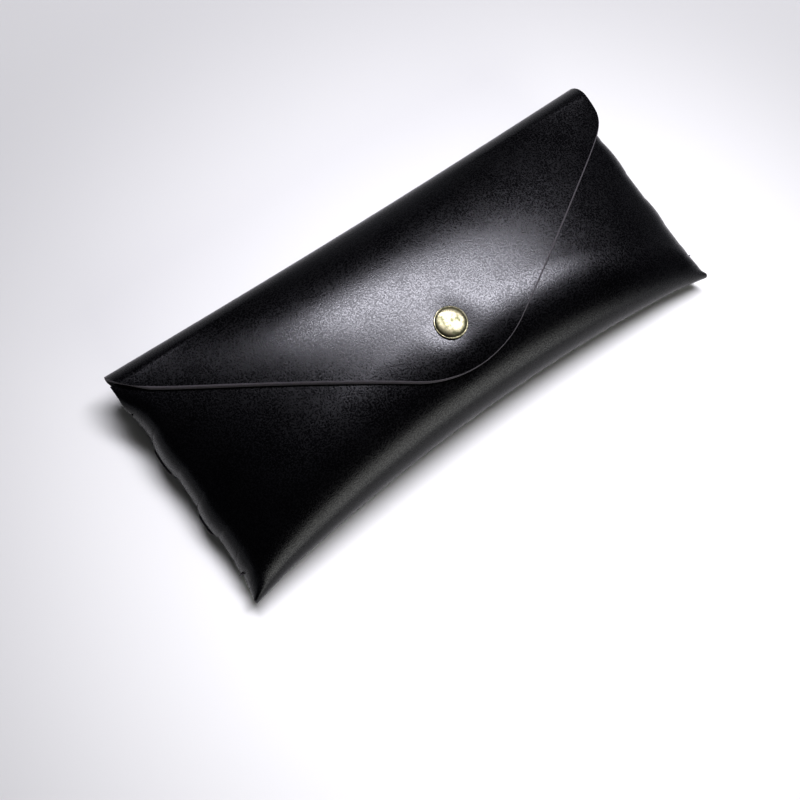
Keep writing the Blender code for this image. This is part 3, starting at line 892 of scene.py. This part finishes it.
class CASE_OT_press_stud(bpy.types.Operator):
    """Build the press stud's cap, socket, spring, stud and post"""

    bl_idname = "glasses_case.press_stud"
    bl_label = "Press stud"

    def execute(self, context):
        case = context.scene.glasses_case_sizes
        brass = brass_finish(context.scene.glasses_case_colours)
        steel = steel_finish()
        share = share_at(case, np.float64(0.0), case.cap_y)
        profile = flap_profile(case, np.float64(0.0))
        flap_top = float(np.interp(-case.cap_y, -profile[FOLD_POINTS:, 0], profile[FOLD_POINTS:, 1]))
        front_top = float(front_height(case, np.float64(0.0), share, np.float64(80.0)))
        flap_under = flap_top - case.leather
        front_under = front_top - case.leather
        centre = (0.0, case.cap_y, 0.0)
        foot = flap_under - 0.4
        cap = (cap_outline(case.cap_width / 2, flap_top + 0.05)
               + [(SHANK, foot), (1.9, foot), (1.9, foot - 0.2), (0.0, foot - 0.2)])
        top = flap_under - 0.02
        socket_cup = [(1.3, top), (4.3, top), (SOCKET, top - 0.25), (SOCKET, top - 1.2), (4.4, top - 1.4),
                      (3.6, top - 1.4), (3.5, top - 1.25), (3.5, top - 0.35), (1.3, top - 0.35)]
        spring = [(SPRING + SPRING_WIRE * math.cos(a), top - 1.0 + SPRING_WIRE * math.sin(a))
                  for a in np.radians(np.arange(360.0, 0.0, -30.0))]
        base = front_top + 0.02
        stud = [(0.0, base + 1.45), (1.5, base + 1.45), (2.0, base + 1.3), (2.2, base + 1.05),
                (1.95, base + 0.7), (2.0, base + 0.35), (3.8, base + 0.3), (STUD_FOOT, base + 0.15),
                (3.9, base), (1.4, base), (1.4, base + 1.0), (0.0, base + 1.0)]
        head = front_under - 0.02
        post = [(0.0, base + 0.8), (1.0, base + 0.8), (1.05, base + 0.7), (1.05, head), (3.9, head),
                (POST_HEAD, head - 0.15), (4.0, head - 0.4), (0.0, head - 0.45)]
        for name, outline, material, body, node in (
                ("snap_cap_brass", cap, brass, "flap", "snap_cap"),
                ("snap_socket_brass", socket_cup, brass, "flap", "snap_socket"),
                ("snap_spring_steel", spring, steel, "flap", "snap_spring"),
                ("snap_stud_brass", stud, brass, "pouch", "snap_stud"),
                ("snap_post_brass", post, brass, "pouch", "snap_post")):
            piece = turned(name, outline, centre, 96, material)
            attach(piece, body)
            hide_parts(node)
        return {"FINISHED"}


# --- the stage ------------------------------------------------------------------------------------
CENTRE = (0.0, 0.0, 0.0)
TABLE_HALF = 3.0
# The table's colour carries a painted pool of light: brightest at this point, darker away from it.
PAINTED_LIGHT_POOL_CENTRE = (-0.005, -0.07, 0.0)
PAINTED_LIGHT_POOL_FADE = 2.5       # the table's tint reaches its last stop at one over this many metres
CAMERA_TARGET = (-0.01814, -0.01309, 0.0)
CAMERA_AZIMUTH = math.radians(-57.06)
CAMERA_ELEVATION = math.radians(72.92)
CAMERA_DISTANCE = 0.2619
CAMERA_ROLL = math.radians(21.25)
CAMERA_LENS = 39.15


def aim(thing, place, target, roll=0.0):
    """Put a thing at a place, looking at the target along its own -Z."""
    back = (Vector(place) - Vector(target)).normalized()
    right = Vector((0.0, 0.0, 1.0)).cross(back).normalized()
    up = back.cross(right)
    turn = Matrix((right, up, back)).transposed() @ Matrix.Rotation(roll, 3, "Z")
    thing.matrix_world = Matrix.Translation(place) @ turn.to_4x4()


def soft_light(name, place, size, power, tint):
    data = bpy.data.lights.new(name, "AREA")
    data.shape = "RECTANGLE"
    data.size, data.size_y = size
    data.energy = power
    data.color = tint
    lamp = bpy.data.objects.new(name, data)
    bpy.context.scene.collection.objects.link(lamp)
    aim(lamp, place, CENTRE)


def table_finish():
    """Matt pale table, with a pool of light painted into its colour: a little darker away from the case."""
    material, nodes, links, shader = fresh_material("pale table")
    place = nodes.new("ShaderNodeTexCoord")
    away = nodes.new("ShaderNodeVectorMath")
    away.operation = "DISTANCE"
    away.inputs[1].default_value = PAINTED_LIGHT_POOL_CENTRE
    fade = sum_node(nodes, "MULTIPLY", PAINTED_LIGHT_POOL_FADE)
    # Painted falloff of light: the table's colour darkens from the pool's centre out to this far tint.
    painted_falloff_tint = (0.46, 0.46, 0.44)
    tint = ramp_of(nodes, ((0.12, (0.82, 0.82, 0.785)), (0.55, painted_falloff_tint), (1.0, painted_falloff_tint)))
    tint.color_ramp.interpolation = "EASE"
    links.new(place.outputs["Object"], away.inputs[0])
    links.new(away.outputs["Value"], fade.inputs[0])
    links.new(fade.outputs[0], tint.inputs["Fac"])
    links.new(tint.outputs["Color"], shader.inputs["Base Color"])
    shader.inputs["Roughness"].default_value = 0.6
    return material


def studio_world():
    """A dark room with pale walls: light near the horizon, dark overhead."""
    world = bpy.data.worlds.new("studio")
    world.use_nodes = True
    nodes, links = world.node_tree.nodes, world.node_tree.links
    place = nodes.new("ShaderNodeTexCoord")
    split = nodes.new("ShaderNodeSeparateXYZ")
    walls = ramp_of(nodes, ((0.0, (0.60, 0.61, 0.65)), (0.12, (0.42, 0.43, 0.46)),
                            (0.34, (0.06, 0.06, 0.068)), (0.55, (0.006, 0.006, 0.007))))
    links.new(place.outputs["Generated"], split.inputs["Vector"])
    links.new(split.outputs["Z"], walls.inputs["Fac"])
    links.new(walls.outputs["Color"], nodes["Background"].inputs["Color"])
    return world


def table():
    mesh = bpy.data.meshes.new("floor")
    corners = ((-1, -1), (1, -1), (1, 1), (-1, 1))
    mesh.from_pydata([(x * TABLE_HALF, y * TABLE_HALF, 0.0) for x, y in corners], [], [(0, 1, 2, 3)])
    mesh.materials.append(table_finish())
    floor = bpy.data.objects.new("floor", mesh)
    bpy.context.scene.collection.objects.link(floor)
    return floor


def place_camera(scene):
    data = bpy.data.cameras.new("camera")
    data.sensor_width = 36.0
    data.lens = CAMERA_LENS
    data.clip_start = 0.01
    camera = bpy.data.objects.new("camera", data)
    scene.collection.objects.link(camera)
    away = Vector((math.sin(CAMERA_AZIMUTH) * math.cos(CAMERA_ELEVATION),
                   -math.cos(CAMERA_AZIMUTH) * math.cos(CAMERA_ELEVATION), math.sin(CAMERA_ELEVATION)))
    target = Vector(CAMERA_TARGET)
    aim(camera, target + away * CAMERA_DISTANCE, target, CAMERA_ROLL)
    scene.camera = camera


class CASE_OT_stage(bpy.types.Operator):
    """Set the floor, the lights and the camera"""

    bl_idname = "glasses_case.stage"
    bl_label = "Stage"

    def execute(self, context):
        scene = context.scene
        floor = table()
        scene.world = studio_world()
        soft_light("window", (0.47, 0.34, 1.23), (1.15, 0.32), 22.0, (0.92, 0.91, 1.0))
        soft_light("front_light", (0.1, -1.2, 0.42), (1.1, 0.6), 4.5, (1.0, 1.0, 0.97))
        place_camera(scene)
        scene.view_settings.view_transform = "Standard"
        scene.view_settings.look = "High Contrast"
        return {"FINISHED"}


OPERATORS = (CASE_OT_body_leather, CASE_OT_side_tabs, CASE_OT_fold_leather, CASE_OT_flap_leather,
             CASE_OT_press_stud, CASE_OT_stage)


class CASE_PT_panel(bpy.types.Panel):
    """Buttons and sizes for the glasses case"""

    bl_idname = "CASE_PT_panel"
    bl_label = "Glasses case"
    bl_space_type = "VIEW_3D"
    bl_region_type = "UI"
    bl_category = "Glasses case"

    def draw(self, context):
        for group in (context.scene.glasses_case_sizes, context.scene.glasses_case_colours):
            for name in group.__annotations__:
                self.layout.prop(group, name)
        for operator in OPERATORS:
            self.layout.operator(operator.bl_idname)


CLASSES = (CaseSizes, CaseColours) + OPERATORS + (CASE_PT_panel,)


def register():
    for kind in CLASSES:
        bpy.utils.register_class(kind)
    bpy.types.Scene.glasses_case_sizes = bpy.props.PointerProperty(type=CaseSizes)
    bpy.types.Scene.glasses_case_colours = bpy.props.PointerProperty(type=CaseColours)


def unregister():
    del bpy.types.Scene.glasses_case_colours
    del bpy.types.Scene.glasses_case_sizes
    for kind in reversed(CLASSES):
        bpy.utils.unregister_class(kind)


def main():
    register()
    bpy.ops.glasses_case.body_leather()
    bpy.ops.glasses_case.side_tabs()
    bpy.ops.glasses_case.fold_leather()
    bpy.ops.glasses_case.flap_leather()
    bpy.ops.glasses_case.press_stud()
    bpy.ops.glasses_case.stage()


if __name__ == "__main__":
    main()
